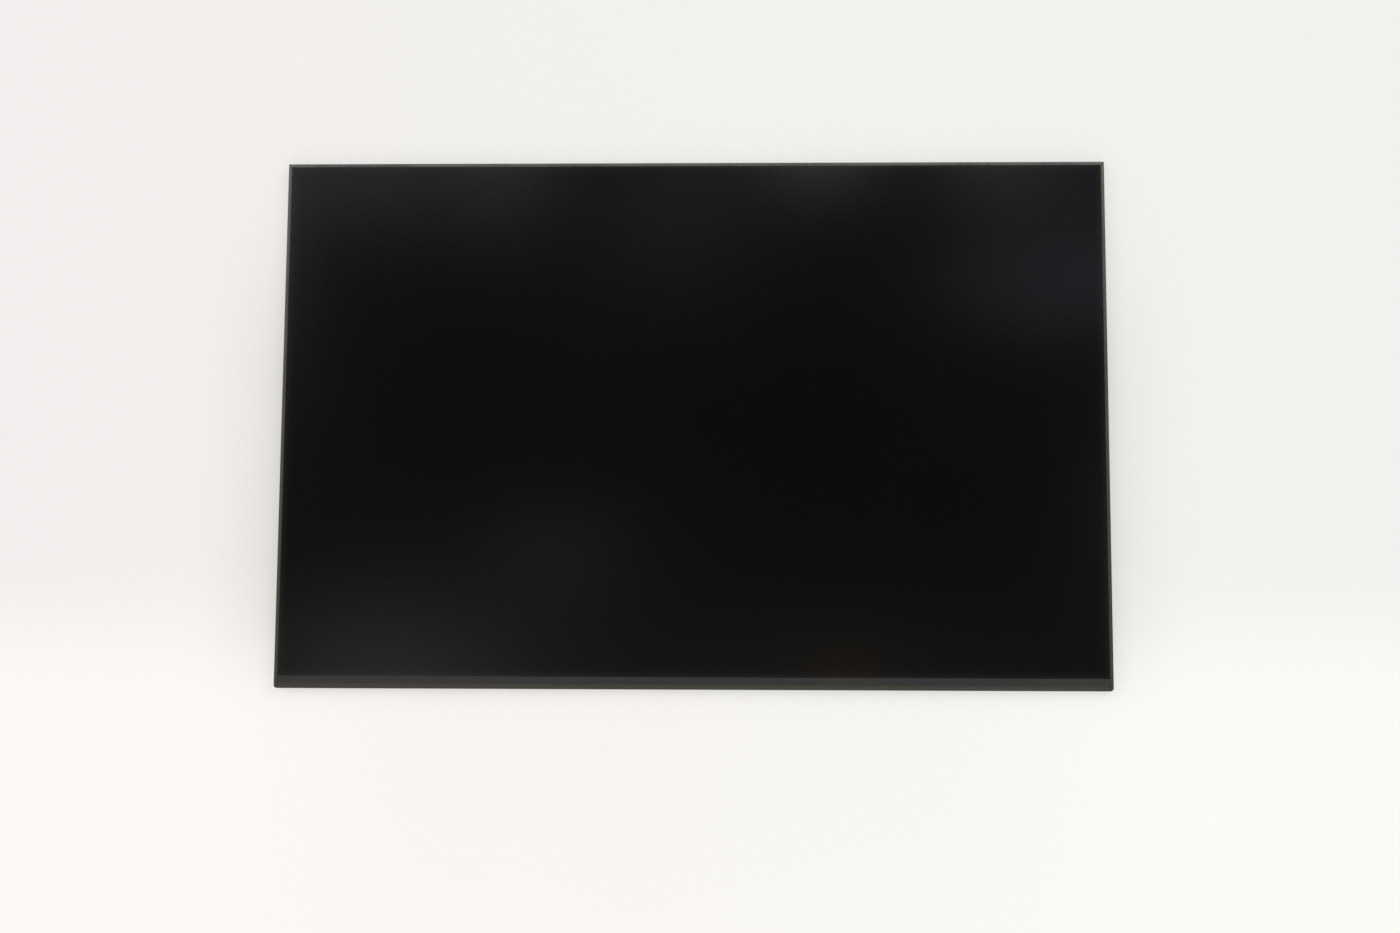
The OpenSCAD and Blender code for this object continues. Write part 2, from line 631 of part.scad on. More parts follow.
// Black tape over the bottom strip: it steps down from the colour filter glass to the driver films,
// turns round the bottom edge, and ends on the board, or on the plate where there is no driver film,
// or on the plate's wall beside the two corners
module bottom_tape() {
    step = 0.75;
    ends = panel_w / 2 - tape_back_w - 0.3;
    corners = panel_w / 2 - rim_side;
    front = [[up_polarizer - tape_gap, z_front], [up_filter - 0.05, z_front], [up_filter - step, z_cover],
        [cover_t, z_cover]];
    inner_r = cover_bend - cover_t;
    on_board = strip(bent(concat(front, [[cover_t, z_cover_back], [up_cover_end, z_cover_back]]),
        [0.3, 0.3, inner_r, inner_r]), -cover_t);
    on_plate = strip(bent(concat(front, [[cover_t, 0], [up_board - 0.3, 0]]),
        [0.3, 0.3, inner_r, 0.3]), -cover_t);
    on_wall = strip(bent(concat(front, [[cover_t, plate_bend]]), [0.3, 0.3, inner_r]), -cover_t);
    color([0.07, 0.07, 0.08]) {
        along_x(-corners, corners) polygon(on_wall);
        along_x(-wrap_half, socket_x - socket_clear) polygon(on_board);
        along_x(socket_x + socket_clear, wrap_half) polygon(on_board);
        along_x(-ends, -wrap_half) polygon(on_plate);
        along_x(socket_x - socket_clear, socket_x + socket_clear) polygon(on_plate);
        along_x(wrap_half, ends) polygon(on_plate);
    }
}

function film_x(i) = (i - (film_count + 1) / 2) * film_pitch;

// One driver film: bonded on the array glass, round the bottom edge and bonded on the board
module driver_film(i) {
    r = z_cover - skim - (z_cover + cover_t - cover_bend) - film_t;
    path = [[up_array + 0.2 + film_bond, z_filter], [up_film + film_t, z_filter], [up_film + film_t, z_board],
        [up_board + film_bond, z_board]];
    color([0.75, 0.5, 0.2]) along_x(film_x(i) - film_w / 2, film_x(i) + film_w / 2)
        polygon(strip(bent(path, [r, r]), -film_t));
}

// One driver chip, on the inner face of its film between the bottom edge and the board
module driver_chip(i) {
    color([0.3, 0.3, 0.35]) translate([film_x(i) - driver_size[0] / 2, up_driver - panel_h / 2, z_board])
        cube(driver_size);
}

// Control board with round corners, a notch at each end and two locating holes
module control_board() {
    color([0.05, 0.3, 0.15]) translate([0, up_board + board_h / 2 - panel_h / 2, z_board]) difference() {
        linear_extrude(board_t) round_rect(board_w, board_h, 1);
        for (x = [-1, 1]) {
            translate([x * notch_x, board_h / 2, -cut]) cylinder(h = 3, r = 1.2, $fn = 48);
            translate([x * pip_x, up_pip - up_board - board_h / 2, -cut]) cylinder(h = 3, d = pip_d + 0.2, $fn = 48);
        }
    }
}

module board_tape() {
    color([0.2, 0.2, 0.2]) translate([-board_w / 2 + 1, up_board + 1.2 - panel_h / 2, -board_tape_t])
        cube([board_w - 2, up_pip - up_board - pip_d / 2 - 1.7, board_tape_t]);
}

// Black film over most of the board: on the bottom tape, out over the parts and down onto the plate
module board_cover() {
    path = [[up_cover_end - 1.4, z_cover_back - cover_t], [up_cover_end - 0.1, z_cover_back - cover_t],
        [up_cover_end + 0.6, z_board_cover], [up_board_end + 0.6, z_board_cover], [up_board_end + 1.8, 0],
        [up_board_end + 1.8 + cover_overlap, 0]];
    color([0.06, 0.06, 0.06]) along_x(cover_start_x, cover_end_x)
        polygon(strip(bent(path, [0.3, 0.3, 0.4, 0.4]), -board_cover_t));
}

// A flat chip package with cut edges round its top, standing down from the board
module chip(x, up, w, d, h) {
    edge = 0.1;
    translate([x - w / 2, up - d / 2 - panel_h / 2, z_board - h]) difference() {
        cube([w, d, h]);
        rotate([45, 0, 0]) cube([3 * w, edge * sqrt(2), edge * sqrt(2)], center = true);
        translate([0, d, 0]) rotate([45, 0, 0]) cube([3 * w, edge * sqrt(2), edge * sqrt(2)], center = true);
        rotate([0, 45, 0]) cube([edge * sqrt(2), 3 * d, edge * sqrt(2)], center = true);
        translate([w, 0, 0]) rotate([0, 45, 0]) cube([edge * sqrt(2), 3 * d, edge * sqrt(2)], center = true);
        // dimple that marks the first pin
        translate([0.7, d - 0.7, -cut]) cylinder(h = cut + 0.05, r = 0.25, $fn = 24);
    }
}

module timing_controller() {
    color([0.12, 0.12, 0.12]) chip(controller_x, parts_mid, controller_size[0], controller_size[0], controller_size[1]);
}

module power_chip() {
    color([0.12, 0.12, 0.12]) chip(power_x, parts_mid, power_size[0], power_size[0], power_size[1]);
}

module level_shifter() {
    color([0.12, 0.12, 0.12]) chip(shifter_x, parts_mid, shifter_size[0], shifter_size[0], shifter_size[1]);
}

module backlight_driver() {
    color([0.12, 0.12, 0.12]) chip(backlight_x, parts_mid, backlight_size[0], backlight_size[0], backlight_size[1]);
}

module settings_memory() {
    color([0.12, 0.12, 0.12]) chip(memory_x, parts_mid, memory_size[0], memory_size[1], memory_size[2]);
}

// Moulded power inductors beside the power chip and the backlight driver
module inductors() {
    color([0.3, 0.3, 0.32])
        for (x = [power_coil_x, power_coil_x + inductor_w + part_gap, backlight_coil_x])
            chip(x, parts_mid, inductor_w, inductor_w, inductor_h);
}

module rectifier_diodes() {
    color([0.15, 0.15, 0.15]) for (x = [power_diode_x, backlight_diode_x])
        chip(x, parts_mid, diode_size[0], diode_size[1], diode_size[2]);
}

// One chip capacitor or resistor, standing down from the board
module chip_part(x, up, size) {
    translate([x - size[0] / 2, up - size[1] / 2 - panel_h / 2, z_board - size[2]]) cube(size);
}

// Pairs of large capacitors round the power stages
module large_capacitors() {
    beside_shifter = shifter_size[0] / 2 + part_gap + large_capacitor[0] / 2;
    row = (large_capacitor[1] + small_gap) / 2;
    color([0.7, 0.55, 0.4])
        for (x = [power_x - power_size[0] / 2 - part_gap - large_capacitor[0] / 2, power_end_x,
                shifter_x - beside_shifter, shifter_x + beside_shifter, backlight_end_x], side = [-1, 1])
            chip_part(x, parts_mid + side * row, large_capacitor);
}

// Blocks of small capacitors beside the controller and rows of them along the middle and the right of the board
module small_capacitors() {
    after = memory_x + memory_size[0] / 2 + part_gap;
    color([0.75, 0.6, 0.45]) {
        for (i = [0:2], row = [-1:1]) {
            chip_part(blocks_x + i * small_step, parts_mid + row * small_row, small_capacitor);
            chip_part(after + i * small_step, parts_mid + row * small_row, small_capacitor);
        }
        for (i = [0:15]) chip_part((i - 7.5) * small_step, parts_mid - small_row / 2, small_capacitor);
        for (i = [0:7]) chip_part(film_x(3) + (i - 3.5) * small_step, parts_mid + small_row / 2, small_capacitor);
    }
}

// Rows of resistors behind the socket and along the middle and the right of the board
module resistors() {
    step = resistor[0] + small_gap;
    color([0.1, 0.1, 0.1]) {
        for (i = [0:11]) chip_part(socket_x + (i - 5.5) * step, up_board_end - resistor[1] / 2 - small_gap, resistor);
        for (i = [0:7]) chip_part((i - 3.5) * 2 * step, parts_mid + small_row / 2, resistor);
        for (i = [0:7]) chip_part(film_x(3) + (i - 3.5) * small_step, parts_mid - small_row / 2, resistor);
    }
}

// Heights inside the socket, which count down from the board
socket_floor = z_board - 0.25;
socket_roof = z_board - socket_h + shell_t;
contact_t = 0.1;
socket_back = up_socket + socket_d;
socket_block = socket_back - 1.1;

function contact_x(i) = socket_x + (i - (contact_count - 1) / 2) * contact_pitch;

// Insulating body: a floor, two cheeks and a back block with a channel for each contact
module socket_housing() {
    cheek = socket_end - 0.8;
    depth = socket_d;
    color([0.9, 0.88, 0.8]) difference() {
        union() {
            along_x(socket_x - socket_w / 2 + shell_t, socket_x + socket_w / 2 - shell_t)
                translate([up_socket, socket_floor]) square([depth, z_board - socket_floor]);
            along_x(socket_x - socket_w / 2 + shell_t, socket_x + socket_w / 2 - shell_t)
                translate([socket_block, socket_roof]) square([socket_back - socket_block, z_board - socket_roof]);
            for (s = [-1, 1])
                translate([socket_x + s * (socket_w / 2 - shell_t - cheek / 2) - cheek / 2,
                    up_socket - panel_h / 2, socket_roof]) cube([cheek, depth, z_board - socket_roof]);
        }
        for (i = [0:contact_count - 1])
            translate([contact_x(i) - contact_w / 2 - 0.01, socket_block - 0.1 - panel_h / 2,
                socket_floor - contact_t - 0.01]) cube([contact_w + 0.02, 2, contact_t + 0.01]);
    }
}

// Folded metal shell over the body, with two solder feet at each side and two latch holes
module socket_shell() {
    roof = z_board - socket_h;
    color([0.8, 0.8, 0.8]) difference() {
        union() {
            translate([socket_x - socket_w / 2, up_socket - panel_h / 2, roof]) cube([socket_w, socket_d, shell_t]);
            for (s = [-1, 1]) {
                translate([socket_x + s * (socket_w / 2 - shell_t / 2) - shell_t / 2, up_socket - panel_h / 2, roof])
                    cube([shell_t, socket_d, socket_h]);
                for (y = [0.3, socket_d - 1.1])
                    translate([socket_x + s * (socket_w / 2 + 0.35) - 0.45, up_socket + y - panel_h / 2,
                        z_board - shell_t]) cube([0.9, 0.8, shell_t]);
            }
        }
        for (s = [-1, 1])
            translate([socket_x + s * (socket_w / 2 - 2.2) - 0.6, up_socket + 0.9 - panel_h / 2, roof - cut])
                cube([1.2, 0.7, shell_t + 2 * cut - 0.8]);
    }
}

// Row of gilded contacts: a blade in the mouth, a run through the back block and a tail on the board
module socket_contacts() {
    path = [[up_socket + 0.4, socket_floor], [socket_back + 0.1, socket_floor], [socket_back + 0.25, z_board],
        [socket_back + 0.8, z_board]];
    color("gold") for (i = [0:contact_count - 1])
        along_x(contact_x(i) - contact_w / 2, contact_x(i) + contact_w / 2)
            polygon(strip(path, -contact_t));
}

// Foil from the board's edge onto the plate
module ground_foil(x) {
    path = [[up_board_end - foil_overlap, z_board], [up_board_end + 0.2, z_board], [up_board_end + 1, 0],
        [field_foot - foil_margin, 0]];
    color([0.85, 0.85, 0.86]) along_x(x - foil_w / 2, x + foil_w / 2)
        polygon(strip(bent(path, [0.1, 0.1]), -foil_t));
}

module ground_foil_left() { ground_foil(foil_left_x); }
module ground_foil_right() { ground_foil(foil_right_x); }

translate([0, 0, lift]) {
    rear_plate();
    mid_frame();
    reflector_sheet();
    light_guide();
    lower_diffuser();
    lower_prism_sheet();
    upper_prism_sheet();
    upper_diffuser();
    light_bar_flex();
    light_bar_leds();
    light_bar_tape();
    cell_tape();
    rear_polarizer();
    array_glass();
    filter_glass();
    front_polarizer();
    edge_tape_left();
    edge_tape_right();
    edge_tape_top();
    bottom_tape();
    driver_film(1);  // driver_film_1
    driver_film(2);  // driver_film_2
    driver_film(3);  // driver_film_3
    driver_film(4);  // driver_film_4
    driver_chip(1);  // driver_chip_1
    driver_chip(2);  // driver_chip_2
    driver_chip(3);  // driver_chip_3
    driver_chip(4);  // driver_chip_4
    control_board();
    board_tape();
    board_cover();
    timing_controller();
    power_chip();
    level_shifter();
    backlight_driver();
    settings_memory();
    inductors();
    rectifier_diodes();
    large_capacitors();
    small_capacitors();
    resistors();
    socket_housing();
    socket_shell();
    socket_contacts();
    ground_foil_left();
    ground_foil_right();
}
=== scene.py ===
import json
import math

import bmesh
import bpy
from mathutils import Matrix, Vector


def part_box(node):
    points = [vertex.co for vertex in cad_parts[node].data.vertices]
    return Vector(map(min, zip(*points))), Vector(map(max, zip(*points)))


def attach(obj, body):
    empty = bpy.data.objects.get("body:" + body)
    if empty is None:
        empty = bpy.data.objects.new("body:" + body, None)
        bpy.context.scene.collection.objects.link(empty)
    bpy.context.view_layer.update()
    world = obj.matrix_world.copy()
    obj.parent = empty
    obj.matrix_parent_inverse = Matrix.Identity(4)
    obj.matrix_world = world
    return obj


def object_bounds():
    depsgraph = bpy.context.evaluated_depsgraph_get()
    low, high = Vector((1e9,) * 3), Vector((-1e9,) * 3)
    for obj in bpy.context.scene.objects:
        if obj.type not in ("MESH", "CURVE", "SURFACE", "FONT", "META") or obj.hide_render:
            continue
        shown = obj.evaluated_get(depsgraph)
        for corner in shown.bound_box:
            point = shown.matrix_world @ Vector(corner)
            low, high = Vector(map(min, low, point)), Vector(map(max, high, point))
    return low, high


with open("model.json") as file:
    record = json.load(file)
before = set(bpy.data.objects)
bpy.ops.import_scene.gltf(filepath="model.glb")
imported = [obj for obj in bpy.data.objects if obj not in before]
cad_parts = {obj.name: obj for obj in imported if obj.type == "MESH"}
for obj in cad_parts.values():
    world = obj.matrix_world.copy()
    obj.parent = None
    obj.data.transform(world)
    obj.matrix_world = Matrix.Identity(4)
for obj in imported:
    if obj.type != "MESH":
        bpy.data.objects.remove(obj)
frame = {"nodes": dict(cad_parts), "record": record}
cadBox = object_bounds()
nodes = frame["nodes"]
print("panel loaded:", len(nodes), "pieces")

scene = bpy.context.scene
scene.view_settings.view_transform = "Standard"


# Shader maths
class Value:  # a socket in a material, on which Python's operators add Math nodes
    def __init__(self, finish, socket):
        self.finish, self.socket = finish, socket

    def maths(self, operation, *terms):
        return self.finish.node("ShaderNodeMath", {"operation": operation}, dict(enumerate(terms)))

    def __add__(self, other):
        return self.maths("ADD", self, other)

    def __sub__(self, other):
        return self.maths("SUBTRACT", self, other)

    def __rsub__(self, other):
        return self.maths("SUBTRACT", other, self)

    def __mul__(self, other):
        return self.maths("MULTIPLY", self, other)

    def __truediv__(self, other):
        return self.maths("DIVIDE", self, other)

    def __rtruediv__(self, other):
        return self.maths("DIVIDE", other, self)

    def __pow__(self, other):
        return self.maths("POWER", self, other)

    def __rpow__(self, other):
        return self.maths("POWER", other, self)

    def __mod__(self, other):
        return self.maths("FLOORED_MODULO", self, other)

    def __rmod__(self, other):
        return self.maths("FLOORED_MODULO", other, self)

    def __lt__(self, other):
        return self.maths("LESS_THAN", self, other)

    def __gt__(self, other):
        return self.maths("GREATER_THAN", self, other)

    def __abs__(self):
        return self.maths("ABSOLUTE", self)

    __radd__, __rmul__ = __add__, __mul__

    def least(self, other):
        return self.maths("MINIMUM", self, other)

    def most(self, other):
        return self.maths("MAXIMUM", self, other)

    def smooth(self, start, end):  # 0 at start and before, 1 at end and after, with a soft step between
        settings = {"interpolation_type": "SMOOTHSTEP"}
        return self.finish.node("ShaderNodeMapRange", settings, {0: self, 1: start, 2: end})


class Finish:  # a material on the Principled shader, with the nodes that feed it
    def __init__(self, name, **fixed):
        self.material = bpy.data.materials.new(name)
        self.material.use_nodes = True
        self.tree = self.material.node_tree
        self.shader = self.tree.nodes["Principled BSDF"]
        for socket, value in fixed.items():
            self.shader.inputs[socket.replace("_", " ")].default_value = value
        self.place = self.node("ShaderNodeTexCoord", output="Object")

    def node(self, kind, settings=None, inputs=None, output=0):
        made = self.tree.nodes.new(kind)
        for key, value in (settings or {}).items():
            if key == "stops":  # a ramp's places and colours, with soft steps between them
                ramp = made.color_ramp
                ramp.interpolation = "EASE"
                while len(ramp.elements) < len(value):
                    ramp.elements.new(1)
                for stop, (position, colour) in zip(ramp.elements, value):
                    stop.position, stop.color = position, (*colour, 1)
            else:
                setattr(made, key, value)
        for key, value in (inputs or {}).items():
            if isinstance(value, Value):
                self.tree.links.new(value.socket, made.inputs[key])
            else:
                made.inputs[key].default_value = value
        return Value(self, made.outputs[output])

    def feed(self, socket, value):
        self.tree.links.new(value.socket, self.shader.inputs[socket])
        return self

    def surface(self, shader):  # another shader in the Principled one's place
        self.tree.links.new(shader.socket, self.tree.nodes["Material Output"].inputs["Surface"])
        return self

    def axes(self):  # the three coordinates as numbers
        parts = self.node("ShaderNodeSeparateXYZ", {}, {0: self.place}).socket.node.outputs
        return [Value(self, part) for part in parts]

    def stretched(self, scale, turn=(0, 0, 0)):
        return self.node("ShaderNodeMapping", {}, {"Vector": self.place, "Scale": scale, "Rotation": turn})

    def noise(self, scale, detail=3.0, rough=0.5, place=None):
        return self.node("ShaderNodeTexNoise", {}, {"Vector": place or self.place, "Scale": scale,
                                                    "Detail": detail, "Roughness": rough})

    def cells(self, scale, place=None, feature="F1"):  # distance from the cells' middles
        return self.node("ShaderNodeTexVoronoi", {"feature": feature},
                         {"Vector": place or self.place, "Scale": scale})

    def tint(self, amount, colourA, colourB):  # from colour A to colour B
        colours = [c if isinstance(c, Value) else (*c, 1) for c in (colourA, colourB)]
        return self.node("ShaderNodeMix", {"data_type": "RGBA"}, {0: amount, 6: colours[0], 7: colours[1]}, 2)

    def across(self, x, tones):  # colours at places along the panel's width
        low, high = cadBox
        width = high.x - low.x
        stops = [((at - low.x) / width, colour) for at, colour in tones]
        return self.node("ShaderNodeValToRGB", {"stops": stops}, {0: (x - low.x) / width})

    def relief(self, height, depth, strength, under=None):  # bumps of a depth in metres
        inputs = {"Height": height, "Strength": strength, "Distance": depth}
        if under:
            inputs["Normal"] = under
        return self.node("ShaderNodeBump", {}, inputs)


# Finishes that the front shows
screen = dict(
    black=(0.0018, 0.0020, 0.0017),
    rim=(0.0085, 0.0090, 0.0082),  # painted glare: the film is a little paler towards its cut edge
    rimWidth=4.5e-3,
    roughness=0.13,
    grain=4e-6,
)


def screenFilm():  # black anti-glare film over the whole picture
    f = Finish("screen film", Specular_IOR_Level=0.5, IOR=1.36)
    low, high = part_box("front_polarizer")
    x, y = f.axes()[:2]
    fromSide = (high.x - low.x) / 2 - abs(x - (low.x + high.x) / 2)
    fromEnd = (high.y - low.y) / 2 - abs(y - (low.y + high.y) / 2)
    # painted glare: the film turns paler towards its cut edge
    rim = fromSide.least(fromEnd).smooth(screen["rimWidth"], -screen["rimWidth"]) * 2
    wiped = f.noise(9, 4, 0.6)  # broad, faint traces of wiping
    black = f.tint(wiped, [c * 0.8 for c in screen["black"]], [c * 1.1 for c in screen["black"]])
    f.feed("Base Color", f.tint(rim ** 2, black, screen["rim"]))
    haze = f.noise(60, 3, 0.55, f.stretched((1, 0.25, 1), (0, 0, 0.5)))
    f.feed("Roughness", screen["roughness"] + 0.03 * (wiped - 0.5) + 0.02 * (haze - 0.5))
    grain = f.noise(9000, 2, 0.6)
    return f.feed("Normal", f.relief(grain, screen["grain"], 0.35)).material


edge = dict(
    left=(0.0500, 0.0510, 0.0300),  # at the foot of each side
    right=(0.0400, 0.0480, 0.0370),
    upper=(0.108, 0.115, 0.092),  # painted light: paler at the sides' upper ends
    # the top tape's tone, paler with painted light
    top=(0.114, 0.120, 0.106),
    # worn patches, and the band of painted shade where the tape lies on glass, take this tone
    worn=(0.0310, 0.0315, 0.0250),
    turn=(-0.1, 0.1),  # between the left tone and the right one
    inner=(0.80e-3, 1.00e-3),  # painted shade darkens the tape from this far in from the outline, where it lies on glass
    glass=(3.0e-3, 3.5e-3),  # heights between which the tape comes to lie on the glass
    roughness=0.55,
    fibres=12e-6,
)


def edgeTape(name, left, right, upper):  # dark olive-grey tape, with painted light making it paler towards the panel's top
    f = Finish(name, IOR=1.42)
    x, y, z = f.axes()
    low, high = cadBox
    rise = ((y - low.y) / (high.y - low.y)) ** 2
    paintedShadeOnGlass = (high.x - abs(x)).least(high.y - abs(y)).smooth(*edge["inner"]) * z.smooth(*edge["glass"])
    worn = f.noise(700, 3, 0.6)
    patchy = f.noise(35, 3, 0.5)
    # painted light: the sides turn paler towards the panel's top
    shade = f.tint(rise, f.tint(x.smooth(*edge["turn"]), left, right), upper)
    # worn patches, and a band of painted shade where the tape lies on glass
    wearAndPaintedShade = (worn * patchy).smooth(0.12, 0.42) * 0.5 + 0.35 * paintedShadeOnGlass
    f.feed("Base Color", f.tint(wearAndPaintedShade, shade, edge["worn"]))
    f.feed("Roughness", edge["roughness"] + 0.12 * (patchy - 0.5))
    fibres = f.noise(5200, 2, 0.5, f.stretched((1, 0.35, 1)))
    return f.feed("Normal", f.relief(fibres, edge["fibres"], 0.5)).material


cover = dict(
    flat=[(-0.085, (0.0325, 0.0262, 0.0284)), (-0.045, (0.0262, 0.0262, 0.0266)),  # from left to right
          (0.112, (0.0262, 0.0262, 0.0266)), (0.145, (0.0335, 0.0350, 0.0276))],
    foot=[(-0.085, (0.0480, 0.0410, 0.0330)), (-0.045, (0.0445, 0.0460, 0.0315))],
    # tone of the painted contact shadow at the bottom of the fold
    under=(0.0080, 0.0080, 0.0045),
    footEnd=(1.95e-3, 1.45e-3),  # how far up from the bottom edge the paler foot of painted reflection ends
    paintedShadowEnd=(0.6e-3, 0.3e-3),  # and the painted contact shadow at the bottom of the fold
    waver=0.3e-3,
    groove=2.1e-3,
    grooveWidth=(0.22e-3, 0.06e-3),
    front=(2.5e-3, 3.2e-3),  # heights between which the tape comes round to the front
    roughness=0.42,
    ripples=30e-6,
    grain=6e-6,
)


def coverTape():  # satin charcoal tape: paler with painted reflection at the fold, with a faint groove along it and long ripples
    f = Finish("cover tape", IOR=1.45)
    x, y, z = f.axes()
    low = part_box("bottom_tape")[0]
    along = f.noise(26, 3, 0.55, f.stretched((1, 0.1, 1)))
    ripples = f.noise(420, 3, 0.55, f.stretched((0.12, 1, 1)))
    up = y - low.y + cover["waver"] * (along - 0.5)
    # the groove is real relief, and its darker tone is painted shade
    groove = abs(up - cover["groove"]).smooth(*cover["grooveWidth"]) * z.smooth(*cover["front"])
    # painted reflection makes the foot paler
    shade = up.smooth(*cover["footEnd"]) + 0.5 * (along - 0.5) + 0.4 * (ripples - 0.5) - 0.45 * groove
    tone = f.tint(shade, f.across(x, cover["flat"]), f.across(x, cover["foot"]))
    # painted contact shadow along the bottom of the fold
    f.feed("Base Color", f.tint(0.75 * up.smooth(*cover["paintedShadowEnd"]), tone, cover["under"]))
    f.feed("Roughness", cover["roughness"] + 0.16 * (ripples - 0.5))
    fine = f.relief(f.noise(6000, 2), cover["grain"], 0.3)
    return f.feed("Normal", f.relief(ripples - 0.8 * groove, cover["ripples"], 0.45, fine)).material


mask = dict(
    dark=(0.006, 0.007, 0.006),
    pale=(0.011, 0.012, 0.011),
    roughness=0.12,
)


def maskGlass():  # glass with black behind it
    f = Finish("mask glass", Roughness=mask["roughness"])
    f.feed("Base Color", f.tint(f.noise(80), mask["dark"], mask["pale"]))
    return f.feed("Normal", f.relief(f.noise(2500, 2), 3e-6, 0.3)).material


# Finishes at the back
plate = dict(
    metal=(0.58, 0.58, 0.57),
    dull=(0.44, 0.44, 0.43),
    roughness=0.38,
    rolling=12e-6,
)


def plateMetal():  # rolled aluminium sheet, its rolling lines along the width
    f = Finish("plate metal", Metallic=1.0)
    rolled = f.noise(900, 4, 0.65, f.stretched((0.012, 1, 1)))
    cloud = f.noise(14, 4, 0.6)
    scuffs = f.noise(160, 5, 0.7, f.stretched((0.35, 1.6, 1), (0, 0, 0.5))).smooth(0.62, 0.72)
    f.feed("Base Color", f.tint(rolled * 0.5 + cloud * 0.5, plate["dull"], plate["metal"]))
    f.feed("Roughness", plate["roughness"] + 0.14 * (cloud - 0.5) + 0.10 * (rolled - 0.5) + 0.08 * scuffs)
    return f.feed("Normal", f.relief(rolled, plate["rolling"], 0.5)).material


foil = dict(
    thread=(0.52, 0.52, 0.51),
    gap=(0.40, 0.40, 0.39),
    pitch=0.24e-3,
    roughness=0.30,
    weave=30e-6,
    creases=0.5e-3,
)


def foilMetal():  # metal-coated cloth: a fine plain weave with a few soft creases
    f = Finish("foil", Metallic=1.0)
    across, along = (abs((v / foil["pitch"]) % 1.0 - 0.5) for v in f.axes()[:2])
    weave = (across + along).smooth(0.15, 0.75)
    creases = f.noise(210, 3, 0.6, f.stretched((1, 2.2, 1), (0, 0, 0.4)))
    f.feed("Base Color", f.tint(weave, foil["gap"], foil["thread"]))
    f.feed("Roughness", foil["roughness"] + 0.15 * f.noise(900))
    fine = f.relief(weave, foil["weave"], 0.5)
    return f.feed("Normal", f.relief(creases, foil["creases"], 0.55, fine)).material


shell = dict(
    dull=(0.36, 0.36, 0.35),
    bright=(0.50, 0.50, 0.48),
    roughness=0.24,
)


def socketSteel():  # folded tinned steel
    f = Finish("socket steel", Metallic=1.0)
    drawn = f.noise(2600, 3, 0.6, f.stretched((0.05, 1, 1)))
    f.feed("Base Color", f.tint(drawn, shell["dull"], shell["bright"]))
    f.feed("Roughness", shell["roughness"] + 0.14 * drawn)
    return f.feed("Normal", f.relief(drawn, 6e-6, 0.4)).material


gilding = dict(
    deep=(0.72, 0.47, 0.14),
    pale=(0.90, 0.66, 0.27),
    roughness=0.20,
)


def goldPlate(name="gold plate"):
    f = Finish(name, Metallic=1.0)
    f.feed("Base Color", f.tint(f.noise(1800), gilding["deep"], gilding["pale"]))
    return f.feed("Roughness", gilding["roughness"] + 0.12 * f.noise(5000)).material


tinning = dict(
    dull=(0.42, 0.42, 0.40),
    bright=(0.60, 0.60, 0.58),
    roughness=0.22,
)


def tinPlate():  # bright solder and tinned ends
    f = Finish("tin plate", Metallic=1.0)
    f.feed("Base Color", f.tint(f.noise(2500), tinning["dull"], tinning["bright"]))
    f.feed("Roughness", tinning["roughness"] + 0.16 * f.noise(3800))
    return f.feed("Normal", f.relief(f.noise(4200, 2), 10e-6, 0.4)).material


board = dict(
    lacquer=(0.008, 0.070, 0.030),
    track=(0.018, 0.125, 0.052),  # copper under the lacquer
    via=(0.42, 0.40, 0.26),
    lane=0.8e-3,  # from one track to the next
    roughness=0.34,
    relief=20e-6,
)


def boardGreen():  # lacquered circuit board: copper tracks show under the lacquer
    f = Finish("board green", Coat_Roughness=0.12, IOR=1.5)
    y = f.axes()[1]
    bend = f.noise(160, 1, 0.3)
    lanes = ((y / board["lane"] + 2.2 * bend) % 1.0).smooth(0.48, 0.56)
    runs = f.noise(55, 1, 0.3, f.stretched((1, 3, 1))).smooth(0.47, 0.52)
    vias = f.cells(620).smooth(0.16, 0.12) * f.noise(90, 1).smooth(0.5, 0.53)
    copper = lanes * runs
    green = f.tint(copper, board["lacquer"], board["track"])
    f.feed("Base Color", f.tint(vias, green, board["via"]))
    f.feed("Roughness", board["roughness"] + 0.12 * f.noise(300))
    f.feed("Coat Weight", 0.35 + 0.1 * bend)
    weave = f.noise(2500, 2)
    return f.feed("Normal", f.relief(copper + 0.25 * weave - 0.4 * vias, board["relief"], 0.6)).material


insulation = dict(
    dark=(0.011, 0.011, 0.012),
    pale=(0.020, 0.020, 0.021),
    roughness=0.30,
    ripples=0.5e-3,
    grain=8e-6,
)


def coverFilm():  # satin black insulating film: it dips between the parts that it lies on
    f = Finish("cover film", IOR=1.47)
    ripples = f.noise(110, 3, 0.5, f.stretched((0.35, 1, 1)))
    dents = f.cells(190, f.stretched((0.7, 1, 1)), "SMOOTH_F1").smooth(0.1, 0.6)
    f.feed("Base Color", f.tint(ripples, insulation["dark"], insulation["pale"]))
    f.feed("Roughness", insulation["roughness"] + 0.14 * (ripples - 0.5))
    fine = f.relief(f.noise(5200, 2), insulation["grain"], 0.3)
    return f.feed("Normal", f.relief(ripples + 0.5 * dents, insulation["ripples"], 0.5, fine)).material


# Finishes inside
guide = dict(
    clear=(0.80, 0.88, 0.90),
    dot=(0.95, 0.96, 0.96),
    dotRadius=(0.16, 0.32),  # as a share of the spacing, at the lit edge and far from it
)


def clearGuide():  # clear acrylic, with rows of light-scattering dots that grow away from the lit edge
    f = Finish("guide acrylic", IOR=1.49)
    low, high = cadBox
    rise = f.axes()[1].smooth(low.y, high.y)
    small, large = guide["dotRadius"]
    dots = f.cells(1100) < small + (large - small) * rise
    f.feed("Base Color", f.tint(dots, guide["clear"], guide["dot"]))
    f.feed("Roughness", 0.08 + 0.45 * dots)
    return f.feed("Alpha", 0.45 + 0.4 * dots).material


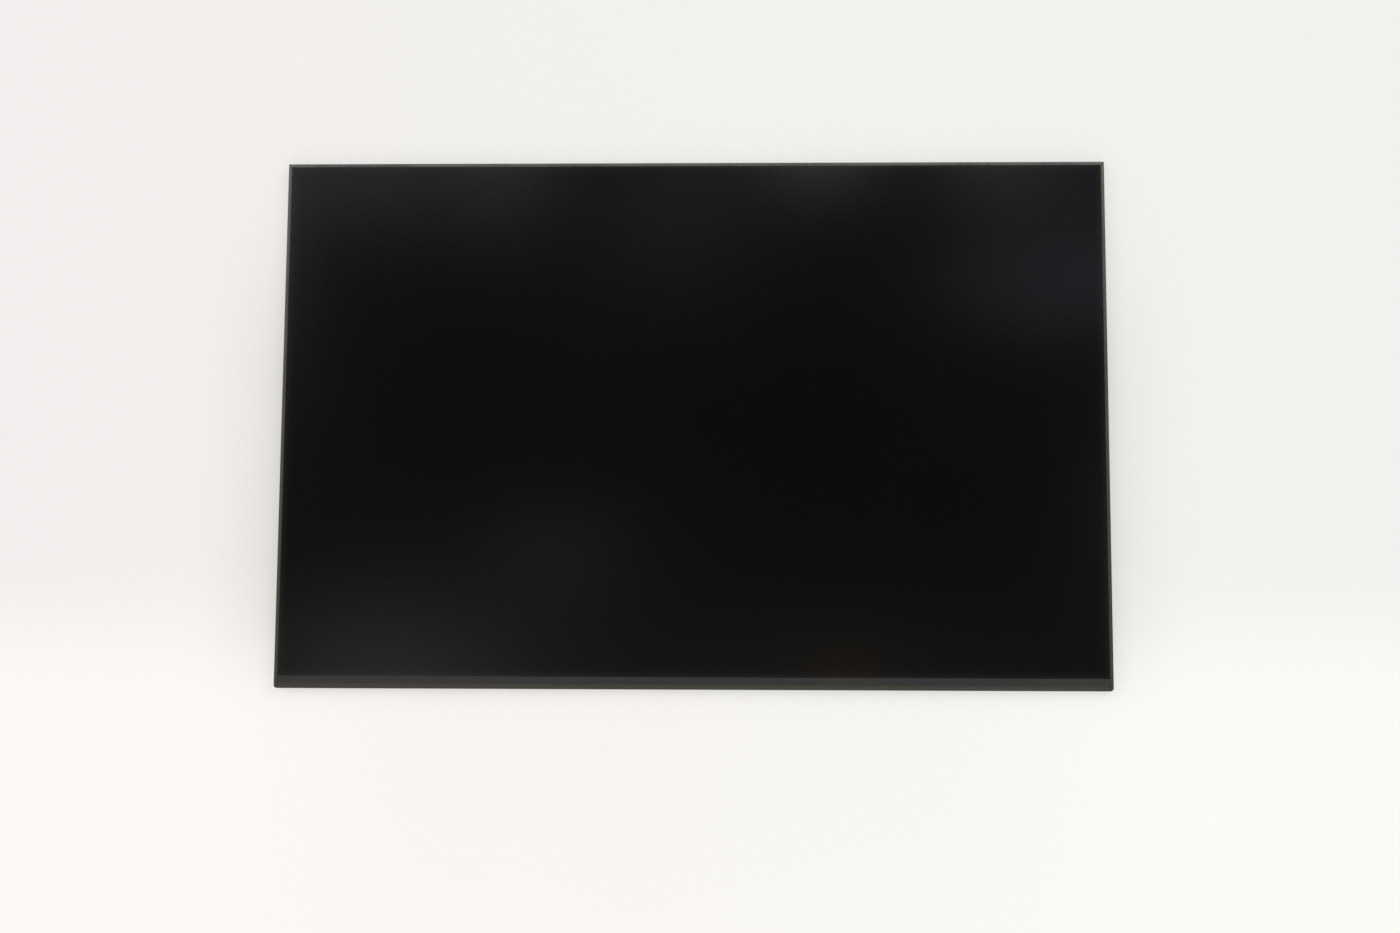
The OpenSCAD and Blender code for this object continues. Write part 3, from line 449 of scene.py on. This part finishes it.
circuits = dict(
    amber=(0.30, 0.155, 0.03),
    copper=(0.52, 0.29, 0.09),
    amberTracks=5200,  # a metre
    white=(0.78, 0.77, 0.70),
    whiteTrack=(0.66, 0.62, 0.50),
    whiteTracks=1900,
)


def flexFilm():  # amber film over fanned copper tracks
    f = Finish("flex film", IOR=1.5)
    tracks = (f.axes()[0] * circuits["amberTracks"] % 1.0).smooth(0.42, 0.5)
    f.feed("Base Color", f.tint(tracks * 0.8, circuits["amber"], circuits["copper"]))
    f.feed("Roughness", 0.28 + 0.1 * f.noise(500))
    return f.feed("Normal", f.relief(tracks, 8e-6, 0.5)).material


def flexWhite():  # white-lacquered flexible circuit
    f = Finish("flex white", IOR=1.5)
    tracks = (f.axes()[1] * circuits["whiteTracks"] % 1.0).smooth(0.4, 0.5)
    f.feed("Base Color", f.tint(tracks * 0.5, circuits["white"], circuits["whiteTrack"]))
    f.feed("Roughness", 0.34 + 0.1 * f.noise(600))
    return f.feed("Normal", f.relief(tracks, 10e-6, 0.4)).material


def sheetFilm(name, dark, pale, roughness, lines=0.0):  # an optical sheet, with prisms where lines is set
    f = Finish(name, IOR=1.5)
    cloud = f.noise(30, 3)
    f.feed("Base Color", f.tint(cloud, dark, pale))
    f.feed("Roughness", roughness + 0.08 * (cloud - 0.5))
    if lines:
        ridges = f.node("ShaderNodeTexWave", {"wave_profile": "TRI"}, {"Vector": f.place, "Scale": lines})
        return f.feed("Normal", f.relief(ridges, 20e-6, 0.4)).material
    return f.feed("Normal", f.relief(f.noise(7000, 2), 4e-6, 0.3)).material


def plainBody(name, dark, pale, roughness, grain=2600, depth=12e-6, metallic=0.0):
    # a moulded, fired or coated body: a colour between two tones, and a fine grain
    f = Finish(name, Metallic=metallic)
    fine = f.noise(grain, 3, 0.6)
    f.feed("Base Color", f.tint(f.noise(grain / 9, 3, 0.6), dark, pale))
    f.feed("Roughness", roughness + 0.12 * (fine - 0.5))
    return f.feed("Normal", f.relief(fine, depth, 0.5)).material


sheets = {
    "diffuser_milky": dict(dark=(0.84, 0.84, 0.83), pale=(0.91, 0.91, 0.90), roughness=0.5),
    "prism_film": dict(dark=(0.72, 0.74, 0.77), pale=(0.82, 0.84, 0.86), roughness=0.2, lines=2400),
    "clear_tape": dict(dark=(0.72, 0.72, 0.70), pale=(0.82, 0.82, 0.80), roughness=0.25),
}
plainBodies = {
    "frame_plastic": dict(dark=(0.020, 0.021, 0.019), pale=(0.032, 0.033, 0.030), roughness=0.5),
    "reflector_white": dict(dark=(0.86, 0.86, 0.85), pale=(0.93, 0.93, 0.92), roughness=0.55, grain=5000),
    "diode_body": dict(dark=(0.78, 0.66, 0.22), pale=(0.88, 0.80, 0.42), roughness=0.4),
    "black_tape": dict(dark=(0.018, 0.018, 0.018), pale=(0.030, 0.030, 0.030), roughness=0.5, grain=5200),
    "panel_glass": dict(dark=(0.030, 0.042, 0.038), pale=(0.048, 0.066, 0.058), roughness=0.08, grain=900,
                        depth=2e-6),
    "rear_film": dict(dark=(0.030, 0.030, 0.034), pale=(0.042, 0.042, 0.046), roughness=0.2, grain=4000,
                      depth=3e-6),
    "chip_silicon": dict(dark=(0.12, 0.12, 0.14), pale=(0.19, 0.19, 0.22), roughness=0.14, grain=3000,
                         depth=2e-6, metallic=0.6),
    "chip_black": dict(dark=(0.018, 0.018, 0.020), pale=(0.030, 0.030, 0.032), roughness=0.45, grain=9000,
                       depth=15e-6),
    "ferrite": dict(dark=(0.060, 0.060, 0.065), pale=(0.105, 0.105, 0.110), roughness=0.6, grain=6500,
                    depth=30e-6),
    "ceramic_tan": dict(dark=(0.30, 0.185, 0.10), pale=(0.42, 0.275, 0.155), roughness=0.42, grain=5000),
    "resistor_black": dict(dark=(0.014, 0.014, 0.018), pale=(0.026, 0.026, 0.032), roughness=0.25,
                           grain=5000),
    "socket_plastic": dict(dark=(0.64, 0.59, 0.46), pale=(0.74, 0.70, 0.58), roughness=0.45, grain=4000),
}
finishes = {
    "screen_film": screenFilm(),
    "edge_tape": edgeTape("edge tape", edge["left"], edge["right"], edge["upper"]),
    "cover_tape": coverTape(),
    "mask_glass": maskGlass(),
    "plate_metal": plateMetal(),
    "foil": foilMetal(),
    "socket_steel": socketSteel(),
    "contact_gold": goldPlate(),
    "board_green": boardGreen(),
    "cover_film": coverFilm(),
    "guide_clear": clearGuide(),
    "flex_amber": flexFilm(),
    "flex_white": flexWhite(),
}
for slot, look in plainBodies.items():
    finishes[slot] = plainBody(slot.replace("_", " "), **look)
for slot, look in sheets.items():
    finishes[slot] = sheetFilm(slot.replace("_", " "), **look)
# the top tape: the same tape, paler with painted light
paintedLightTopTape = edgeTape("edge tape top", edge["top"], edge["top"], edge["top"])
tin, gold = tinPlate(), goldPlate("pad gold")

slotOf = {part["node"]: part["material_slot"] for part in frame["record"]["subparts"]}
for name, piece in nodes.items():
    material = paintedLightTopTape if name == "edge_tape_top" else finishes[slotOf[name]]
    for place in piece.material_slots:
        place.material = material
print("finishes on the panel's pieces:", len(finishes) + 1)


# What repeats on the control board
def solids(name):  # lowest and highest corner of each separate solid of a node
    made = bmesh.new()
    made.from_mesh(nodes[name].data)
    bmesh.ops.remove_doubles(made, verts=made.verts, dist=1e-7)
    found, seen = [], set()
    for start in made.verts:
        if start in seen:
            continue
        group, todo = [], [start]
        seen.add(start)
        while todo:
            v = todo.pop()
            group.append(v.co.copy())
            for e in v.link_edges:
                w = e.other_vert(v)
                if w not in seen:
                    seen.add(w)
                    todo.append(w)
        found.append((Vector(map(min, *group)), Vector(map(max, *group))))
    made.free()
    return found


def pointTree(name, sides):  # geometry nodes that set a block, or a disc of so many sides, on each point
    tree = bpy.data.node_groups.new(name, "GeometryNodeTree")
    face = tree.interface
    face.new_socket("Geometry", in_out="INPUT", socket_type="NodeSocketGeometry")
    for socket in ("Width", "Length", "Height"):
        face.new_socket(socket, in_out="INPUT", socket_type="NodeSocketFloat")
    face.new_socket("Material", in_out="INPUT", socket_type="NodeSocketMaterial")
    face.new_socket("Geometry", in_out="OUTPUT", socket_type="NodeSocketGeometry")
    add, link = tree.nodes.new, tree.links.new
    given, result = add("NodeGroupInput"), add("NodeGroupOutput")
    if sides:
        shape, half = add("GeometryNodeMeshCylinder"), add("ShaderNodeMath")
        shape.inputs["Vertices"].default_value = sides
        half.operation = "MULTIPLY"
        half.inputs[1].default_value = 0.5
        link(given.outputs["Width"], half.inputs[0])
        link(half.outputs[0], shape.inputs["Radius"])
        link(given.outputs["Height"], shape.inputs["Depth"])
    else:
        shape, extent = add("GeometryNodeMeshCube"), add("ShaderNodeCombineXYZ")
        for i, socket in enumerate(("Width", "Length", "Height")):
            link(given.outputs[socket], extent.inputs[i])
        link(extent.outputs[0], shape.inputs["Size"])
    turn, spin = add("GeometryNodeInputNamedAttribute"), add("ShaderNodeCombineXYZ")
    turn.inputs["Name"].default_value = "turn"
    link(turn.outputs["Attribute"], spin.inputs[2])
    place = add("GeometryNodeInstanceOnPoints")
    link(given.outputs["Geometry"], place.inputs["Points"])
    link(shape.outputs["Mesh"], place.inputs["Instance"])
    link(spin.outputs[0], place.inputs["Rotation"])
    real, dress = add("GeometryNodeRealizeInstances"), add("GeometryNodeSetMaterial")
    link(place.outputs[0], real.inputs[0])
    link(real.outputs[0], dress.inputs["Geometry"])
    link(given.outputs["Material"], dress.inputs["Material"])
    link(dress.outputs[0], result.inputs[0])
    return tree


def repeated(name, points, size, material, turns=None, sides=0):
    # size is width, length and height, and turns are about Z
    start = bpy.data.meshes.new(name + " points")
    start.from_pydata([tuple(p) for p in points], [], [])
    turns = turns or [0.0] * len(points)
    start.attributes.new("turn", "FLOAT", "POINT").data.foreach_set("value", turns)
    base = bpy.data.objects.new(name + "Points", start)
    scene.collection.objects.link(base)
    modifier = base.modifiers.new(name, "NODES")
    modifier.node_group = pointTree(name, sides)
    given = [s for s in modifier.node_group.interface.items_tree if s.in_out == "INPUT"]
    key = {s.name: s.identifier for s in given}
    for socket, value in zip(("Width", "Length", "Height"), size):
        modifier[key[socket]] = value
    modifier[key["Material"]] = material
    evaluated = base.evaluated_get(bpy.context.evaluated_depsgraph_get())
    mesh = bpy.data.meshes.new_from_object(evaluated)
    bpy.data.objects.remove(base)
    made = bpy.data.objects.new(name, mesh)
    scene.collection.objects.link(made)
    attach(made, "root")


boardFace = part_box("control_board")[0].z
endCaps = dict(reach=0.24e-3, proud=0.012e-3)  # tinned ends of the capacitors and resistors


def tinnedEnds(name, node):
    reach, proud = endCaps["reach"], endCaps["proud"]
    boxes, points = solids(node), []
    for low, high in boxes:
        middle = (low + high) / 2
        out = (high.y - low.y - reach) / 2 + proud
        points += [(middle.x, middle.y + side * out, middle.z - proud / 2) for side in (-1, 1)]
    low, high = boxes[-1]  # all are alike
    size = (high.x - low.x + 2 * proud, reach, high.z - low.z + proud)
    repeated(name, points, size, tin)


tinnedEnds("largeCapacitorEnds", "large_capacitors")
tinnedEnds("smallCapacitorEnds", "small_capacitors")
tinnedEnds("resistorEnds", "resistors")

flatChips = ("timing_controller", "power_chip", "level_shifter", "backlight_driver")
pads = dict(pitch=0.5e-3, size=(0.26e-3, 0.42e-3, 0.03e-3), proud=0.14e-3, corner=0.45e-3)


def chipPads():  # soldered pads round the flat chips
    points, turns = [], []
    for node in flatChips:
        low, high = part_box(node)
        middle, half = (low + high) / 2, (high.x - low.x) / 2
        count = int(2 * (half - pads["corner"]) / pads["pitch"])
        out = half + pads["proud"] - pads["size"][1] / 2
        for side in range(4):
            angle = side * math.pi / 2
            for i in range(count + 1):
                along = (i - count / 2) * pads["pitch"]
                p = Matrix.Rotation(angle, 3, "Z") @ Vector((along, out, 0))
                points.append((middle.x + p.x, middle.y + p.y, boardFace - pads["size"][2] / 2))
                turns.append(angle)
    repeated("chipPads", points, pads["size"], tin, turns)


chipPads()

tails = dict(size=(0.3e-3, 0.9e-3, 0.05e-3), inwards=0.2e-3)


def contactSolder():  # solder round the tails of the socket's contacts
    points = []
    for low, high in solids("socket_contacts"):
        points.append(((low.x + high.x) / 2, high.y - tails["inwards"], boardFace - tails["size"][2] / 2))
    repeated("contactSolder", points, tails["size"], tin)


contactSolder()

leads = dict(
    settings_memory=dict(side="x", count=4, pitch=0.5e-3, size=(0.24e-3, 0.42e-3, 0.06e-3), proud=0.26e-3),
    rectifier_diodes=dict(side="y", count=1, pitch=0, size=(0.75e-3, 0.50e-3, 0.12e-3), proud=0.32e-3),
    inductors=dict(side="y", count=1, pitch=0, size=(1.50e-3, 0.30e-3, 0.28e-3), proud=0.09e-3),
)


def sideLeads(node, side, count, pitch, size, proud):  # tinned leads on two sides of a part
    points = []
    for low, high in solids(node):
        middle = (low + high) / 2
        out = (high.x - low.x if side == "x" else high.y - low.y) / 2 + proud - size[1] / 2
        for end in (-1, 1):
            for i in range(count):
                along = (i - (count - 1) / 2) * pitch
                x, y = (end * out, along) if side == "x" else (along, end * out)
                points.append((middle.x + x, middle.y + y, boardFace - size[2] / 2))
    turns = [math.pi / 2 if side == "x" else 0.0] * len(points)
    repeated(node.split("_")[-1] + "Leads", points, size, tin, turns)


for node, lead in leads.items():
    sideLeads(node, **lead)

marks = dict(size=(0.11e-3, 0.70e-3, 0.012e-3), away=0.24e-3, white=(0.70, 0.71, 0.66))


def cornerMarks():  # printed corners round the chips
    width, length, thick = marks["size"]
    back, z = (length - width) / 2, boardFace - thick / 2
    points, turns = [], []
    for node in flatChips + ("settings_memory",):
        low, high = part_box(node)
        spare = marks["away"] + (leads[node]["proud"] if node in leads else 0)
        for sx, x in ((1, low.x - spare), (-1, high.x + spare)):
            for sy, y in ((1, low.y - marks["away"]), (-1, high.y + marks["away"])):
                points += [(x + sx * back, y, z), (x, y + sy * back, z)]
                turns += [math.pi / 2, 0.0]
    white = plainBody("board print", [c * 0.85 for c in marks["white"]], marks["white"], 0.6, 4000)
    repeated("cornerMarks", points, marks["size"], white, turns)


cornerMarks()

testPads = dict(
    width=0.7e-3,
    thick=0.02e-3,
    step=1.6e-3,
    edgeGap=0.7e-3,
    rows=(-0.112, -0.05, -0.03),  # their middles, along X
    run=0.017,  # length of a row
)
standingSlots = ("chip_black", "ferrite", "ceramic_tan", "resistor_black", "socket_steel", "contact_gold")


def roundPads():  # in rows along the board's upper edge, wherever no part stands
    standing = [node for node, slot in slotOf.items() if slot in standingSlots]
    standing += ["ground_foil_left", "ground_foil_right"]
    taken = [box for node in standing for box in solids(node)]
    reach = 0.9 * testPads["width"]
    low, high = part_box("control_board")
    y, points = high.y - testPads["edgeGap"], []
    for i in range(int((high.x - low.x) / testPads["step"])):
        x = low.x + (i + 0.7) * testPads["step"]
        if min(abs(x - at) for at in testPads["rows"]) > testPads["run"] / 2:
            continue
        if all(x < a.x - reach or x > b.x + reach or y < a.y - reach or y > b.y + reach for a, b in taken):
            points.append((x, y, boardFace - testPads["thick"] / 2))
    size = (testPads["width"], 0, testPads["thick"])
    repeated("testPads", points, size, gold, sides=20)


roundPads()
print("board details made")


# Camera, floor and light
cameraPlace = dict(
    at=(0.02841, -0.12194, 0.81284),
    turn=(7.4282, 1.7758, 0.2949),
    lens=56.747,
    sensor=36,
    nearest=0.01,
)
camera = bpy.data.objects.new("camera", bpy.data.cameras.new("camera"))
scene.collection.objects.link(camera)
camera.location = cameraPlace["at"]
camera.rotation_euler = [math.radians(a) for a in cameraPlace["turn"]]
camera.data.lens, camera.data.sensor_width = cameraPlace["lens"], cameraPlace["sensor"]
camera.data.clip_start = cameraPlace["nearest"]
scene.camera = camera


def plane(name, size, height, finish):
    mesh = bpy.data.meshes.new(name)
    w, h = size[0] / 2, size[1] / 2
    mesh.from_pydata([(-w, -h, 0), (w, -h, 0), (w, h, 0), (-w, h, 0)], [], [(0, 1, 2, 3)])
    mesh.materials.append(finish.material)
    made = bpy.data.objects.new(name, mesh)
    made.location.z = height
    scene.collection.objects.link(made)
    return made


floor = dict(
    size=(14, 14),
    height=-0.02e-3,
    back=(0.885, 0.878, 0.850),  # under the panel and behind it
    backLeft=(0.885, 0.850, 0.845),
    front=(0.965, 0.955, 0.920),
    frontLeft=(0.980, 0.939, 0.911),
    far=(0.925, 0.912, 0.888),
    backTurn=(-0.30, 0.05),  # where one tone turns into the next, along X, Y or outwards
    frontTurn=(-0.12, 0.10),
    crease=(-0.045, -0.105),
    farTurn=(0.36, 0.80),
    shade=0.12,  # beside the panel
    shadeWidth=(0.045, -0.004),
    frontShade=0.035,
    frontShadeLength=(0.16, 0.02),
    glow=0.6,
    inset=0.8e-3,  # the floor is open to light under the panel, this far in from its outline
)


def floorFinish():  # pale floor, paler in front of the panel, with soft shade round the panel
    f = Finish("floor", Roughness=0.9, Specular_IOR_Level=0.0)
    x, y = f.axes()[:2]
    low, high = cadBox
    back = f.tint(x.smooth(*floor["backTurn"]), floor["backLeft"], floor["back"])
    front = f.tint(x.smooth(*floor["frontTurn"]), floor["frontLeft"], floor["front"])
    away = (x * x + y * y) ** 0.5
    close = f.tint(y.smooth(*floor["crease"]), back, front)
    pale = f.tint(away.smooth(*floor["farTurn"]), close, floor["far"])
    beside = (abs(x) - high.x).smooth(*floor["shadeWidth"]) ** 2
    beside = beside * y.smooth(high.y, 0.010) * y.smooth(low.y - 0.012, low.y + 0.030)  # ends softly
    beside = beside * (1.1 - 0.3 * x.smooth(-0.1, 0.1))  # deeper at the left
    start, full = floor["frontShadeLength"]
    before = y.smooth(low.y - start, low.y - full) * (1.0 - y.smooth(low.y - 0.004, low.y + 0.01))
    before = before * abs(x).smooth(high.x + 0.03, high.x - 0.08)
    shade = floor["shade"] * beside + floor["frontShade"] * before
    colour = f.tint(shade, pale, (0, 0, 0))
    f.feed("Base Color", colour)
    seen, glossy, through = (f.node("ShaderNodeLightPath", output=f"Is {ray} Ray")
                             for ray in ("Camera", "Glossy", "Transmission"))
    glow = f.node("ShaderNodeEmission", {}, {"Color": colour})
    share = floor["glow"] * (seen + glossy + through)
    lit = f.node("ShaderNodeMixShader", {}, {0: share, 1: Value(f, f.shader.outputs[0]), 2: glow})
    underPanel = (abs(x) < high.x - floor["inset"]) * (abs(y) < high.y - floor["inset"])
    below = f.node("ShaderNodeNewGeometry", output="Backfacing")
    unseen = below.most(underPanel * (1.0 - seen))  # so that light reaches the panel's back
    clear = f.node("ShaderNodeBsdfTransparent")
    return f.surface(f.node("ShaderNodeMixShader", {}, {0: unseen, 1: lit, 2: clear}))


plane("floor", floor["size"], floor["height"], floorFinish())

room = dict(height=1.0, dark=(0.076, 0.085, 0.077), size=(1.9, 1.7))  # dim ceiling that only gloss shows
tints = dict(
    white=(1.0, 1.04, 1.0),
    green=(0.98, 1.06, 0.94),
    cool=(0.94, 1.02, 1.06),
    blue=(0.90, 0.97, 1.22),
    red=(1.0, 0.25, 0.0),
)
glows = {  # soft pale areas on the ceiling: x, y, half width, half length, strength, tint
    "tallWindow": (-0.42, 0.41, 0.04, 0.20, 1.80, "white"),
    "cornerLamp": (-0.31, 0.38, 0.06, 0.05, 1.10, "cool"),
    "leftWindow": (-0.20, 0.41, 0.045, 0.07, 1.50, "cool"),
    "middleWindow": (-0.05, 0.36, 0.065, 0.09, 0.42, "cool"),
    "tubeLamp": (0.07, 0.41, 0.04, 0.04, 3.40, "white"),
    "rightLamp": (0.22, 0.39, 0.05, 0.045, 1.25, "cool"),
    "rightWindow": (0.28, 0.27, 0.10, 0.04, 0.69, "blue"),
    "rightBlind": (0.35, 0.39, 0.09, 0.07, 0.40, "blue"),
    "nearDoor": (-0.29, -0.08, 0.11, 0.075, 0.87, "green"),
    "table": (-0.145, 0.04, 0.06, 0.04, 0.35, "cool"),
    "redLight": (0.09, -0.07, 0.035, 0.035, 0.42, "red"),
    "leftWall": (-0.33, 0.06, 0.085, 0.15, 0.03, "cool"),
    "farWall": (-0.14, 0.28, 0.065, 0.11, 0.03, "cool"),
    "rightDoor": (0.35, 0.07, 0.05, 0.09, 0.40, "green"),
    "nearWall": (0.04, -0.12, 0.30, 0.09, 0.28, "white"),
}


def roomFinish():
    f = Finish("room", Specular_IOR_Level=0.0)
    x, y = f.axes()[:2]
    light = f.tint(f.noise(5, 3), [c * 0.85 for c in room["dark"]], [c * 1.15 for c in room["dark"]])
    for gx, gy, width, length, strength, tint in glows.values():
        far = ((x - gx) / width) ** 2 + ((y - gy) / length) ** 2
        spot = f.tint(math.exp(-1) ** far, (0, 0, 0), [strength * c for c in tints[tint]])
        light = f.node("ShaderNodeVectorMath", {"operation": "ADD"}, {0: light, 1: spot})
    return f.surface(f.node("ShaderNodeEmission", {}, {"Color": light}))


ceiling = plane("ceiling", room["size"], room["height"], roomFinish())
for ray in ("camera", "diffuse", "transmission", "shadow", "volume_scatter"):
    setattr(ceiling, "visible_" + ray, False)

studio = dict(colour=(1.0, 0.995, 0.985), strength=0.72)
world = bpy.data.worlds.new("studio")
world.use_nodes = True
scene.world = world
sky = world.node_tree.nodes["Background"]
sky.inputs["Color"].default_value = (*studio["colour"], 1)
sky.inputs["Strength"].default_value = studio["strength"]

lamps = {  # place, size, power: each lamp faces the panel, and the low ones light its back
    "lampLeft": ((-1.5, 0.6, 1.5), 1.3, 9.0),
    "lampRight": ((1.5, 0.7, 1.6), 1.3, 9.0),
    "lampFront": ((0.1, -1.9, 1.5), 1.4, 7.0),
    "lampLeftLow": ((-1.4, 0.4, -1.3), 1.0, 5.0),
    "lampRightLow": ((1.3, -0.8, -1.5), 1.0, 4.0),
    "lampBackLow": ((0.3, 1.5, -1.6), 1.0, 4.0),
}
for name, (at, size, power) in lamps.items():
    light = bpy.data.lights.new(name, "AREA")
    light.energy, light.size = power, size
    lamp = bpy.data.objects.new(name, light)
    lamp.location = at
    lamp.rotation_euler = (-Vector(at)).to_track_quat("-Z", "Y").to_euler()
    scene.collection.objects.link(lamp)
print("camera, floor and light placed")
